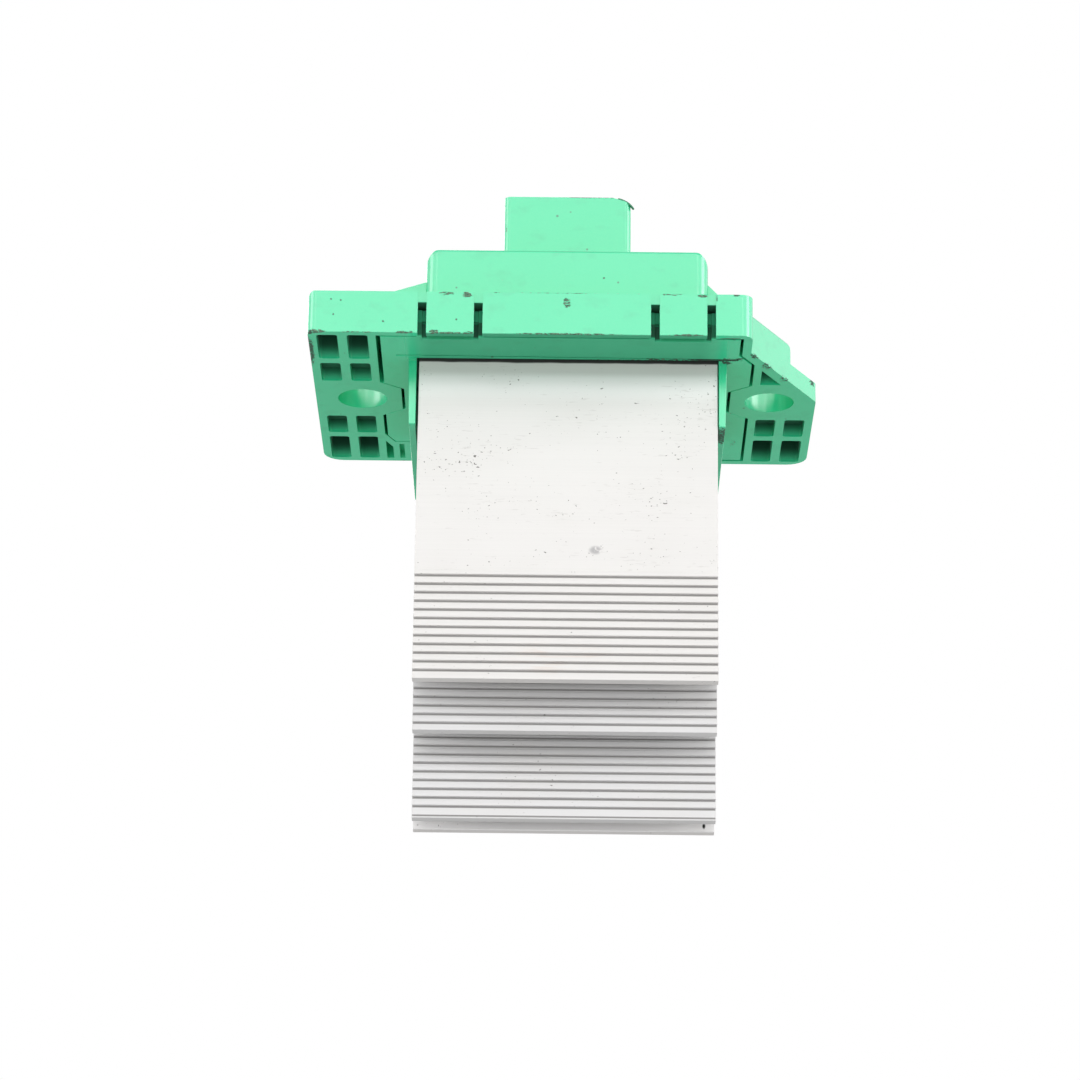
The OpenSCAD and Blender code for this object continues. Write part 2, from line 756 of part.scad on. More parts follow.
module heat_sink_carrier() {
    lug_w = tongue_w + 2 * lug_gap;
    groove_x = ear_out + groove_past;
    groove_from = [opening_x - groove_x, -opening_y - groove_left];
    groove_to = [opening_x + groove_x, -opening_y - groove_right];
    color("#5fcf9c")
        difference() {
            union() {
                linear_extrude(carrier_t)
                    polygon(well_outline(carrier_gap));
                intersection() {
                    for (turn = [0, 1])
                        mirror([0, turn, 0])
                            carrier_rim();
                    linear_extrude(well_top)
                        polygon(well_outline(carrier_gap));
                }
                for (side = [-1, 1])
                    side_ear(side);
            }
            block([opening_x - ear_in, -opening_y, -side_ear_h - eps],
                  [opening_x + ear_in, opening_y, carrier_t + eps]);
            translate([0, 0, -eps])
                linear_extrude(groove_depth + eps)
                    polygon([groove_from, groove_to, groove_to - [0, groove_w], groove_from - [0, groove_w]]);
            on_both_skirts()
                block([-lug_w / 2, -well_y, -eps], [lug_w / 2, -hook_face, hook_h + hook_clear]);
            block([-well_x, -well_y, -eps], [edge_relief - carrier_x, -boss_root / 2, carrier_t + eps]);
        }
}

module heat_sink() {
    color(aluminium)
        difference() {
            translate([sink_x - sink_w / 2, 0, 0])
                rotate([90, 0, 90])
                    linear_extrude(sink_w)
                        polygon(sink_outline());
            translate([0, spring_y, base_bottom + screw_floor])
                cylinder(d = screw_d + 2 * screw_clear, h = base_top);
        }
}

module thermal_pad() {
    x = transistor_x + transistor_w / 2 + pad_margin;
    color("#b9c3c9")
        difference() {
            block([-x, tab_front - pad_margin, base_top], [x, mould_back + pad_margin, tab_bottom]);
            translate([0, spring_y, base_top - eps])
                cylinder(d = screw_d + 2 * pad_margin, h = 2 * pad_t);
        }
}

// Lead frame of one transistor: the cooling tab and three leads that lie on the board
module transistor_tab(side) {
    x = side * transistor_x;
    color(tin) {
        difference() {
            block([x - transistor_w / 2, tab_front, tab_bottom],
                  [x + transistor_w / 2, mould_back, mould_bottom]);
            translate([x, tab_front + (tab_l - mould_l) / 2, tab_bottom - eps])
                cylinder(d = tab_hole_d, h = tab_t + 2 * eps);
        }
        for (i = [-1, 0, 1])
            block([x + i * lead_pitch - lead_w / 2, mould_back, lead_bottom],
                  [x + i * lead_pitch + lead_w / 2, board_front + lead_lap, lead_bottom + lead_t]);
    }
}

module transistor_mould(side) {
    x = side * transistor_x;
    color(black_epoxy)
        block([x - transistor_w / 2, mould_back - mould_l, mould_bottom],
              [x + transistor_w / 2, mould_back, mould_top]);
}

// Bent strip that presses both transistors on the base
module clamp_spring() {
    low = mould_top - spring_dip;
    right = [[spring_flat, low], [spring_bend, mould_top], [spring_end, mould_top],
             [spring_end, mould_top + spring_t], [spring_bend - spring_t / 2, mould_top + spring_t],
             [spring_flat - spring_t / 2, low + spring_t]];
    left = [for (i = [len(right) - 1:-1:0]) [-right[i].x, right[i].y]];
    color("#b8bcc0")
        difference() {
            translate([0, spring_y + spring_w / 2, 0])
                rotate([90, 0, 0])
                    linear_extrude(spring_w)
                        polygon(concat(right, left));
            translate([0, spring_y, low - eps])
                cylinder(d = screw_d + 2 * spring_clear, h = spring_t + 2 * eps);
        }
}

module clamp_screw() {
    color("#9a9da0")
        translate([0, spring_y, 0]) {
            translate([0, 0, base_bottom + screw_floor + screw_tail])
                cylinder(d = screw_d, h = seat_z - base_bottom - screw_floor - screw_tail + eps);
            difference() {
                translate([0, 0, seat_z])
                    cylinder(d = screw_head_d, h = screw_head_h);
                for (turn = [0, 90])
                    translate([0, 0, seat_z + screw_head_h])
                        rotate([0, 0, turn])
                            cube([screw_d, screw_d / 4, screw_head_h], center = true);
            }
        }
}

module circuit_board() {
    color("#1f6b45")
        difference() {
            block([-board_x, board_front, board_top - board_t], [board_x, board_back, board_top]);
            for (x = [-post_x, post_x], y = post_ys)
                translate([x, y, board_top - board_t - eps])
                    cylinder(d = peg_d + 2 * peg_clear, h = board_t + 2 * eps);
            for (side = [-1, 1], place = [[blade_x, stem_w], [pin_x, pin_stem_w]]) {
                x = side * place[0];
                w = place[1] / 2 + blade_clear;
                block([x - w, blade_y - blade_t / 2 - blade_clear, board_top - board_t - eps],
                      [x + w, blade_y + blade_t / 2 + blade_clear, board_top + eps]);
            }
        }
}

// Flat terminal: a blade in the socket, a shoulder under the box's roof and a stem through the board
module terminal(x, w, stem) {
    front = blade_y - blade_t / 2;
    back = blade_y + blade_t / 2;
    color(tin) {
        block([x - w / 2, front, room_top - eps], [x + w / 2, back, cavity_floor + blade_h]);
        block([x - w / 2 - shoulder_out, front, room_top - shoulder_h],
              [x + w / 2 + shoulder_out, back, room_top]);
        block([x - stem / 2, front, board_top - board_t - peg_tail],
              [x + stem / 2, back, room_top - shoulder_h + eps]);
    }
}

// Flat component on the board
module chip(x, y, size) {
    translate([x - size.x / 2, y - size.y / 2, board_top])
        cube(size);
}

module control_chip() {
    y = parts_front + foot_l + control_d / 2;
    color(black_epoxy)
        chip(0, y, [control_w, control_d, control_h]);
    color(tin)
        for (i = [-3:3], side = [-1, 1])
            chip(i * foot_pitch, y + side * (control_d + foot_l) / 2, [foot_w, foot_l, foot_t]);
}

module buffer_capacitor() {
    x = -parts_side - can_foot_w / 2;
    y = parts_front + can_foot_w / 2;
    color("#c4c6c8") {
        chip(x, y, [can_foot_w, can_foot_w, can_foot_t]);
        translate([x, y, board_top + can_foot_t - eps])
            cylinder(d = can_d, h = can_h);
    }
}

module surge_diode() {
    color(black_epoxy)
        chip(parts_side + diode_w / 2, parts_front + diode_d / 2, [diode_w, diode_d, diode_h]);
}

module shunt_resistor() {
    y = parts_front + diode_d + chip_gap + shunt_d / 2;
    color("#3a3d42")
        chip(parts_side + shunt_w / 2, y, [shunt_w, shunt_d, shunt_h]);
}

module chip_resistors() {
    y = parts_front + control_d + 2 * foot_l + chip_gap + resistor_d / 2;
    color("#33363a")
        for (i = [-2:2])
            chip(i * (resistor_w + chip_gap), y, [resistor_w, resistor_d, resistor_h]);
}

module chip_capacitors() {
    x = -parts_side - can_foot_w - chip_gap - ceramic_w / 2;
    color("#b48a5a")
        for (i = [0:2])
            chip(x, parts_front + i * (ceramic_d + chip_gap) + ceramic_d / 2,
                 [ceramic_w, ceramic_d, ceramic_h]);
}

housing();
heat_sink_carrier();
heat_sink();
thermal_pad();
transistor_tab(-1);  // transistor_tab_left
transistor_tab(1);  // transistor_tab_right
transistor_mould(-1);  // transistor_mould_left
transistor_mould(1);  // transistor_mould_right
clamp_spring();
clamp_screw();
circuit_board();
terminal(-blade_x, blade_w, stem_w);  // power_blade_left
terminal(blade_x, blade_w, stem_w);  // power_blade_right
terminal(-pin_x, pin_w, pin_stem_w);  // signal_pin_left
terminal(pin_x, pin_w, pin_stem_w);  // signal_pin_right
control_chip();
buffer_capacitor();
shunt_resistor();
surge_diode();
chip_resistors();
chip_capacitors();
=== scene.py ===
import math

import bpy
from mathutils import Matrix, Vector


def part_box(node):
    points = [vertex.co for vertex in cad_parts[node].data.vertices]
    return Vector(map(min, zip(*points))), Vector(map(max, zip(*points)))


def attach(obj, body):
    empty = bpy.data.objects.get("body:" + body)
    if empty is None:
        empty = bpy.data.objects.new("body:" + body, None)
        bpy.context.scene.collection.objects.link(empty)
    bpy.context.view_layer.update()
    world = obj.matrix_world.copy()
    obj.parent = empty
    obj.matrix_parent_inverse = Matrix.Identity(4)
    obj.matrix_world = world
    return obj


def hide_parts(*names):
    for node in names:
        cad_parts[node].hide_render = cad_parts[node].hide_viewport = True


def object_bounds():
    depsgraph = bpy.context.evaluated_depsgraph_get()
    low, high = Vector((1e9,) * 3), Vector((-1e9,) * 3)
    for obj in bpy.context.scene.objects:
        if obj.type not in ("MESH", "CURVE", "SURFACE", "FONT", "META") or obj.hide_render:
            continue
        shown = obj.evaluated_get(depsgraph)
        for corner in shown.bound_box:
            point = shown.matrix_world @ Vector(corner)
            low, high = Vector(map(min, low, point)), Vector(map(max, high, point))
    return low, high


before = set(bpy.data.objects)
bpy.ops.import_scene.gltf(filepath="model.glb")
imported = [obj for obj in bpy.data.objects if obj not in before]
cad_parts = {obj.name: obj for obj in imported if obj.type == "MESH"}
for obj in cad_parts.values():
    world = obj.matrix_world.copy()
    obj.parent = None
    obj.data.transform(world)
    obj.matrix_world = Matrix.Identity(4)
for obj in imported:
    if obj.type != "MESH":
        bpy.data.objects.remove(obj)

cad_low, cad_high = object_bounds()

# Heat sink: one length of aluminium extrusion, a base plate with six fins of three lengths that are
# ribbed below their middle. Bare mill finish, sawn off square at both ends and a few years old:
# faint die lines, dark specks and one greasy smudge. Painted shade darkens the fins behind the front
# one and lines under the ribs, painted light brightens a band below the carrier and the fourth fin's
# foot, and a dark line at the top is partly dirt and partly painted shade.
MM = 0.001
weld_reach = 0.002 * MM
flat_turn = math.radians(0.3)
sharp_turn = math.radians(28)
smooth_turn = math.radians(50)


class Field:
    """A value that varies over a surface, held as an output socket of a material's nodes."""

    def __init__(self, socket):
        self.socket = socket

    def node(self, kind, settings, values, output=0):
        tree = self.socket.id_data
        made = tree.nodes.new(kind)
        for name, setting in settings.items():
            setattr(made, name, setting)
        for name, value in values.items():
            if isinstance(value, Field):
                tree.links.new(value.socket, made.inputs[name])
            else:
                made.inputs[name].default_value = value
        return Field(made.outputs[output])

    def maths(self, operation, first, second):
        return self.node("ShaderNodeMath", {"operation": operation}, {0: first, 1: second})

    def __add__(self, other):
        return self.maths("ADD", self, other)

    def __radd__(self, other):
        return self.maths("ADD", other, self)

    def __sub__(self, other):
        return self.maths("SUBTRACT", self, other)

    def __rsub__(self, other):
        return self.maths("SUBTRACT", other, self)

    def __mul__(self, other):
        return self.maths("MULTIPLY", self, other)

    def __rmul__(self, other):
        return self.maths("MULTIPLY", other, self)


def surface(name, constants):
    """A new material, its shader with the constants set, and its Object coordinates."""
    material = bpy.data.materials.new(name)
    material.use_nodes = True
    tree = material.node_tree
    shader = tree.nodes["Principled BSDF"]
    for socket, value in constants.items():
        shader.inputs[socket].default_value = value
    return material, shader, Field(tree.nodes.new("ShaderNodeTexCoord").outputs["Object"])


def feed(shader, fields):
    """Links fields to the sockets of a shader that they are named after."""
    for socket, field in fields.items():
        shader.id_data.links.new(field.socket, shader.inputs[socket])


def along(place, axis):
    """How far a place or a direction reaches along one axis."""
    return place.node("ShaderNodeSeparateXYZ", {}, {0: place}, axis)


def in_grains(place, size):
    """A place counted in grains of a given size in mm along each axis."""
    grain = Vector(size) * MM
    return place.node("ShaderNodeVectorMath", {"operation": "DIVIDE"}, {0: place, 1: grain})


def noise(place, size, detail=2.0):
    """Soft noise about one half, with grains of a given size in mm along each axis."""
    grains = in_grains(place, size)
    return grains.node("ShaderNodeTexNoise", {}, {"Vector": grains, "Scale": 1.0, "Detail": detail})


def ease(value, low, high):
    """A smooth step from 0 at low to 1 at high."""
    smooth = {"interpolation_type": "SMOOTHSTEP"}
    return value.node("ShaderNodeMapRange", smooth, {0: value, 1: low, 2: high})


def specks(place, size, share, reach):
    """Round specks of different sizes, at most one in each cell and in a share of the cells."""
    grains = in_grains(place, size)
    dots = grains.node("ShaderNodeTexVoronoi", {}, {"Vector": grains, "Scale": 1.0})
    chance = Field(dots.socket.node.outputs["Color"])
    pick = along(chance, "X")
    width = along(chance, "Y") * 0.8 + 0.3
    return ease(dots - width * reach, 0.0, -0.4 * reach) * ease(pick, share, share - 0.02)


def spot(place, centre, reach):
    """1 in the middle of an ellipsoid, in mm, and 0 outside it."""
    middle = Vector(centre) * MM
    away = place.node("ShaderNodeVectorMath", {"operation": "SUBTRACT"}, {0: place, 1: middle})
    away = in_grains(away, reach)
    far = away.node("ShaderNodeVectorMath", {"operation": "LENGTH"}, {0: away}, "Value")
    return ease(far, 1.0, 0.35)


def within(place, low, high, soft):
    """1 inside a box given by two corners and 0 outside it, with soft edges, all in mm."""
    sides = []
    for axis, least, most, edge in zip("XYZ", low, high, soft):
        way = along(place, axis)
        past_low = ease(way, least * MM, (least + edge) * MM)
        sides.append(past_low * ease(way, most * MM, (most - edge) * MM))
    return sides[0] * sides[1] * sides[2]


def laid_over(under, amount, colour):
    """One colour over another, as thick as the amount says."""
    return amount.node("ShaderNodeMix", {"data_type": "RGBA"}, {0: amount, 6: under, 7: colour}, 2)


def relief(height, depth):
    """A bumpy normal from a height field of a given depth in mm."""
    return height.node("ShaderNodeBump", {}, {"Height": height, "Distance": depth * MM})


def rounded_over(piece, chosen, centre, radius, turns):
    """Rounds an edge along Y by flat cuts, each square to a turn from +X, through the chosen faces."""
    for turn in turns:
        outwards = Vector((math.cos(math.radians(turn)), 0, math.sin(math.radians(turn))))
        bpy.ops.mesh.select_mode(type="FACE")
        bpy.ops.mesh.select_all(action="DESELECT")
        bpy.ops.object.mode_set(mode="OBJECT")
        corners = piece.data.vertices
        for face in piece.data.polygons:
            face.select = any(chosen(corners[corner].co / MM) for corner in face.vertices)
        bpy.ops.object.mode_set(mode="EDIT")
        touch = (Vector(centre) + outwards * radius) * MM
        bpy.ops.mesh.bisect(plane_co=touch, plane_no=outwards, use_fill=True, clear_outer=True)


def finished_copy(node, name, material, width, trims=(), levels=()):
    """A copy of a CAD solid, shown in its place, with its edges rounded by a width in mm and its walls
    divided at some levels, so that the shading of a rounded edge stays near that edge."""
    bpy.ops.object.select_all(action="DESELECT")
    piece = bpy.data.objects.new(name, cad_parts[node].data.copy())
    bpy.context.scene.collection.objects.link(piece)
    bpy.context.view_layer.objects.active = piece
    piece.select_set(True)
    bpy.ops.object.mode_set(mode="EDIT")
    bpy.ops.mesh.select_all(action="SELECT")
    bpy.ops.mesh.remove_doubles(threshold=weld_reach)
    bpy.ops.mesh.dissolve_limited(angle_limit=flat_turn)
    for trim in trims:
        rounded_over(piece, *trim)
    bpy.ops.object.mode_set(mode="OBJECT")
    rounding = piece.modifiers.new("rounding", "BEVEL")
    rounding.width = width * MM
    rounding.segments = 2
    rounding.limit_method = "ANGLE"
    rounding.angle_limit = sharp_turn
    rounding.miter_outer = "MITER_ARC"
    bpy.ops.object.modifier_apply(modifier=rounding.name)
    bpy.ops.object.mode_set(mode="EDIT")
    for level in levels:
        bpy.ops.mesh.select_all(action="SELECT")
        bpy.ops.mesh.bisect(plane_co=(0, 0, level * MM), plane_no=(0, 0, 1))
    bpy.ops.object.mode_set(mode="OBJECT")
    bpy.ops.object.shade_smooth_by_angle(angle=smooth_turn)
    flats = piece.modifiers.new("flats", "WEIGHTED_NORMAL")
    flats.keep_sharp = True
    bpy.ops.object.modifier_apply(modifier=flats.name)
    piece.data.materials.clear()
    piece.data.materials.append(material)
    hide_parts(node)
    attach(piece, "root")


mill_aluminium, shader, place = surface("mill_aluminium", {"Metallic": 0.2, "Specular IOR Level": 0.3})
length = along(place, "X")
depth = along(place, "Y")
height = along(place, "Z")
die_lines = noise(place, (45, 0.5, 0.22), 3.0)
tarnish = noise(place, (11, 9, 7))
plain_face = ease(height, -33 * MM, -31 * MM)
crowd = noise(place, (9, 9, 7), 1.0) * 0.22 + plain_face * 0.05
dust = ease(noise(place, (0.42, 0.42, 0.34), 1.0) + crowd, 0.885, 0.92)
dirt = ease(noise(place, (0.7, 0.7, 0.45), 2.0) + crowd, 0.9, 0.92)
streaks = ease(noise(place, (1.8, 1.8, 0.3), 2.0) + crowd, 0.80, 0.92)
# Painted shade: the fins behind the front fin are coloured a little darker.
inner_fins_shade = ease(depth, -13 * MM, -11 * MM) * ease(depth, 1 * MM, 0 * MM)
rib_pitch = 1.285 * MM
line_start = 0.05 * MM
last_ribs = {"outer": 47.05 * MM, "second": 52.98 * MM, "middle": 63.55 * MM}
off_centre = depth.maths("ABSOLUTE", depth, 0)
past_middle = off_centre.maths("GREATER_THAN", off_centre, 5.8 * MM)
past_second = off_centre.maths("GREATER_THAN", off_centre, 11.5 * MM)
last_rib = past_middle * (last_ribs["second"] - last_ribs["middle"]) + last_ribs["middle"]
last_rib = last_rib + past_second * (last_ribs["outer"] - last_ribs["second"])
ribs = (-line_start - height - last_rib) * (1 / rib_pitch)
below_rib = ribs.maths("FRACT", ribs, 0)
# Painted light: the foot of the fourth fin is coloured lighter, and the painted rib shade is left off it.
painted_light_foot = within(place, (-30, 1.2, -70), (30, 2.4, -63.2), (0.2, 0.2, 0.3))
# Painted shade: a dark line under each rib on the fins' faces, left off their sawn ends.
painted_rib_shade = ease(below_rib, 0.24, 0.17) * ease(height, -32.8 * MM, -32.9 * MM) * (1 - painted_light_foot)
sink_low, sink_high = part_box("heat_sink")
for end, inwards in ((sink_low.x, MM), (sink_high.x, -MM)):
    painted_rib_shade = painted_rib_shade * ease(length, end + 0.03 * inwards, end + 0.1 * inwards)
# Painted light: a lighter band on the front fin a few mm below the carrier's front bar.
painted_light_band = ease(height, -1.6 * MM, -2.8 * MM) * ease(height, -7 * MM, -4 * MM)
painted_light_band = painted_light_band * ease(depth, -14.6 * MM, -15 * MM)
# A dark line along the top of the fins where they meet the carrier, partly dirt and partly painted shade.
seam_dirt_and_shade = ease(height + noise(place, (3, 1, 1), 1.0) * 0.2 * MM, -0.36 * MM, -0.1 * MM)
seam_dirt_and_shade = seam_dirt_and_shade * ease(height, 0.5 * MM, 0.3 * MM)
smudge = spot(place, (4.4, -15.1, -29.0), (1.2, 0.8, 0.85))
smudge = smudge * ease(noise(place, (0.6, 0.6, 0.45)), 0.3, 0.5)
stain = spot(place, (-0.6, -15.2, -45.3), (9, 1.2, 3))
stain = stain * ease(noise(place, (5, 1, 0.6)), 0.45, 0.65)
chip_mark = spot(place, (20.3, 1.9, -64.5), (0.3, 0.6, 0.55))
tone = laid_over((0.70, 0.686, 0.672, 1), ease(die_lines, 0.3, 0.75) * 0.2, (0.64, 0.63, 0.62, 1))
for amount, colour in (
    (inner_fins_shade, (0.66, 0.655, 0.655, 1)),
    (painted_light_band.maths("MAXIMUM", painted_light_band, painted_light_foot), (0.86, 0.85, 0.845, 1)),
    (ease(tarnish, 0.45, 0.75) * 0.25, (0.67, 0.655, 0.635, 1)),
    (stain * 0.22, (0.62, 0.42, 0.30, 1)),
    (painted_rib_shade * 0.8, (0.16, 0.155, 0.15, 1)),
    (smudge * 0.7, (0.30, 0.29, 0.30, 1)),
    (streaks * 0.2, (0.35, 0.33, 0.31, 1)),
    (dust * 0.7, (0.16, 0.15, 0.14, 1)),
    (dirt * 0.85, (0.08, 0.07, 0.065, 1)),
    (seam_dirt_and_shade * 0.97, (0.012, 0.016, 0.013, 1)),
    (chip_mark, (0.01, 0.01, 0.01, 1)),
):
    tone = laid_over(tone, amount, colour)
feed(shader, {
    "Base Color": tone,
    "Roughness": tarnish * 0.12 + die_lines * 0.1 + 0.5 + dust * 0.2,
    "Normal": relief(die_lines, 0.004),
})
finished_copy("heat_sink", "heat_sink_extrusion", mill_aluminium, 0.07)

# Transistors: two flat power packages with tinned copper tabs and black moulded bodies, lying on a
# grey silicone pad on the heat sink's base, their leads lapped onto the circuit board.
pad_silicone, shader, place = surface("pad_silicone", {"Roughness": 0.7})
weave = noise(place, (0.35, 0.12, 1.0)) + noise(place, (0.12, 0.35, 1.0))
feed(shader, {
    "Base Color": laid_over((0.30, 0.31, 0.33, 1), ease(weave, 0.8, 1.25), (0.42, 0.43, 0.45, 1)),
    "Normal": relief(weave, 0.03),
})

tinned_copper, shader, place = surface("tinned_copper", {"Metallic": 1.0})
rolled = noise(place, (0.12, 0.3, 5), 3.0)
bloom = noise(place, (1.6, 1.6, 2.4))
tone = laid_over((0.72, 0.70, 0.66, 1), ease(rolled, 0.35, 0.7), (0.60, 0.58, 0.54, 1))
tone = laid_over(tone, ease(bloom, 0.5, 0.72) * 0.5, (0.50, 0.44, 0.36, 1))
feed(shader, {
    "Base Color": tone,
    "Roughness": rolled * 0.15 + bloom * 0.12 + 0.2,
    "Normal": relief(rolled, 0.006),
})

black_epoxy, shader, place = surface("black_epoxy", {})
grit = noise(place, (0.12, 0.12, 0.12), 3.0)
swirl = noise(place, (2.4, 1.1, 2.0))
greyed = ease(swirl + grit * 0.4, 0.5, 0.95)
feed(shader, {
    "Base Color": laid_over((0.020, 0.020, 0.022, 1), greyed, (0.038, 0.037, 0.037, 1)),
    "Roughness": grit * 0.2 + 0.42,
    "Normal": relief(grit, 0.012),
})


def dressed(node, material):
    """A CAD solid that keeps its shape and takes a finish."""
    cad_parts[node].material_slots[0].material = material


dressed("thermal_pad", pad_silicone)
for side in ("left", "right"):
    dressed("transistor_tab_" + side, tinned_copper)
    dressed("transistor_mould_" + side, black_epoxy)

# Clamp: a bent strip of spring steel that presses both transistors on the pad, held by one
# cross-head screw in the heat sink's base. Both are zinc plated and a little dull.
zinc_plate, shader, place = surface("zinc_plate", {"Metallic": 1.0})
spangle = specks(place, (0.5, 0.5, 0.5), 1.0, 0.7)
haze = noise(place, (2, 2, 2))
bright = ease(haze + spangle * 0.3, 0.4, 0.9)
feed(shader, {
    "Base Color": laid_over((0.52, 0.53, 0.55, 1), bright, (0.66, 0.67, 0.68, 1)),
    "Roughness": haze * 0.25 + 0.22,
})
dressed("clamp_spring", zinc_plate)
dressed("clamp_screw", zinc_plate)

# Circuit board: glass laminate under green solder resist, its routed edge left bare and pale.
# It hangs on four pegs under the box's roof and carries the control parts.
laminate, shader, place = surface("laminate", {})
board_low, board_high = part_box("circuit_board")
height = along(place, "Z")
skin = 0.03 * MM
edge = ease(height, board_low.z, board_low.z + skin) * ease(height, board_high.z, board_high.z - skin)
tracks = ease(noise(place, (1.2, 4.0, 1.0), 0.0), 0.50, 0.52)
tracks = tracks * ease(noise(place, (4.0, 1.2, 1.0), 0.0), 0.42, 0.44)
glass = noise(place, (0.2, 0.2, 0.12))
resist = laid_over((0.012, 0.11, 0.05, 1), tracks, (0.03, 0.19, 0.08, 1))
bare = laid_over((0.45, 0.40, 0.22, 1), ease(glass, 0.4, 0.65), (0.62, 0.57, 0.38, 1))
feed(shader, {
    "Base Color": laid_over(resist, edge, bare),
    "Roughness": edge * 0.4 + 0.28 + glass * 0.1,
    "Normal": relief(tracks, 0.02),
})
dressed("circuit_board", laminate)

# Parts on the board: a control chip, a surge diode and a shunt in black mouldings, small resistors,
# tan ceramic capacitors and one capacitor in an aluminium can, all soldered flat.
moulded_chip, shader, place = surface("moulded_chip", {})
grit = noise(place, (0.1, 0.1, 0.1), 3.0)
chip_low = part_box("control_chip")[0]
foot_top = 0.27 * MM
solder = ease(along(place, "Z"), chip_low.z + foot_top, chip_low.z + foot_top * 0.8)
feed(shader, {
    "Base Color": laid_over((0.022, 0.022, 0.024, 1), solder, (0.58, 0.57, 0.55, 1)),
    "Metallic": solder,
    "Roughness": grit * 0.2 + 0.4 - solder * 0.1,
    "Normal": relief(grit, 0.01),
})
for part in ("control_chip", "surge_diode", "shunt_resistor", "chip_resistors"):
    dressed(part, moulded_chip)

tan_ceramic, shader, place = surface("tan_ceramic", {"Roughness": 0.5})
grit = noise(place, (0.15, 0.15, 0.15))
fired = ease(grit, 0.35, 0.7)
feed(shader, {"Base Color": laid_over((0.42, 0.27, 0.13, 1), fired, (0.52, 0.36, 0.19, 1))})
dressed("chip_capacitors", tan_ceramic)

drawn_can, shader, place = surface("drawn_can", {"Metallic": 1.0})
drawn = noise(place, (0.2, 0.2, 6), 2.0)
feed(shader, {
    "Base Color": laid_over((0.70, 0.70, 0.71, 1), ease(drawn, 0.35, 0.7), (0.80, 0.80, 0.81, 1)),
    "Roughness": drawn * 0.2 + 0.22,
})
dressed("buffer_capacitor", drawn_can)

# Carrier: the injection-moulded plate under the flange that the heat sink hangs in, with a low rim
# that the housing's tongues snap over and two drafted ears beside the fins. The same mint plastic as
# the housing, with dirt on one ear, dark lines along its front groove and gaps that are partly dirt
# and partly painted shade, and painted shade where the housing's slots show it and along its front bar.
def marks(place, places):
    """Several spots in one mask, each with its own strength."""
    found = [spot(place, centre, reach) * strength for centre, reach, strength in places]
    total = found[0]
    for one in found[1:]:
        total = total.maths("MAXIMUM", total, one)
    return total


def mint_moulding(name, mint, scuffs, dirt_and_shade_spots, painted_shade_boxes):
    """Satin mint plastic with brown scuffs, dark marks of dirt and shade, and painted shade in the boxes
    given.
    """
    material, shader, place = surface(name, {"Specular IOR Level": 0.9})
    cloud = noise(place, (16, 16, 12), 3.0)
    grain = noise(place, (0.3, 0.3, 0.3), 2.0)
    flecks = specks(place, (2.3, 2.3, 2.3), 0.5, 0.1)
    rub = noise(place, (0.45, 0.45, 0.22), 4.0) * 1.8 - 0.4
    scuffed = ease(marks(place, scuffs) + rub, 0.95, 1.15)
    crumbs = noise(place, (0.28, 0.4, 0.22), 3.0) * 1.8 - 0.4
    dirt_and_shade = ease(marks(place, dirt_and_shade_spots) + crumbs, 0.95, 1.1)
    mottle = cloud * 0.7 + grain * 0.3
    tone = laid_over(mint, ease(mottle, 0.3, 0.7) * 0.5, (0.05, 0.63, 0.32, 1))
    smears = ease(noise(place, (3.4, 3.4, 2.2), 4.0), 0.52, 0.74)
    tone = laid_over(tone, smears * 0.2, (0.02, 0.35, 0.17, 1))
    tone = laid_over(tone, flecks * 0.75, (0.03, 0.16, 0.09, 1))
    height = along(place, "Z")
    # Painted shade: the colour is darkened in the given boxes, more so higher up from each box's bottom.
    shades = []
    for low, high, soft, rise, strength in painted_shade_boxes:
        risen = ease(height, low[2] * MM, (low[2] + rise) * MM)
        shades.append(within(place, low, high, soft) * risen * strength)
    painted_shade = sum(shades[1:], shades[0])
    tone = laid_over(tone, painted_shade, (0.002, 0.06, 0.03, 1))
    facing = Field(shader.id_data.nodes.new("ShaderNodeNewGeometry").outputs["Normal"])
    dulled_top = ease(along(facing, "Z"), 0.5, 0.9)
    pitted = ease(noise(place, (0.26, 0.26, 0.17), 2.0), 0.45, 0.58)
    rust = laid_over((0.10, 0.125, 0.085, 1), pitted, (0.014, 0.013, 0.01, 1))
    tone = laid_over(tone, scuffed * 0.88, rust)
    tone = laid_over(tone, dirt_and_shade * 0.9, (0.02, 0.035, 0.025, 1))
    feed(shader, {
        "Base Color": tone,
        "Roughness": cloud * 0.08 + 0.18 + scuffed * 0.6 + dirt_and_shade * 0.6 + painted_shade * 1.5 + dulled_top * 0.35,
        "Normal": relief(grain * 0.15 + scuffed * grain, 0.03),
    })
    return material


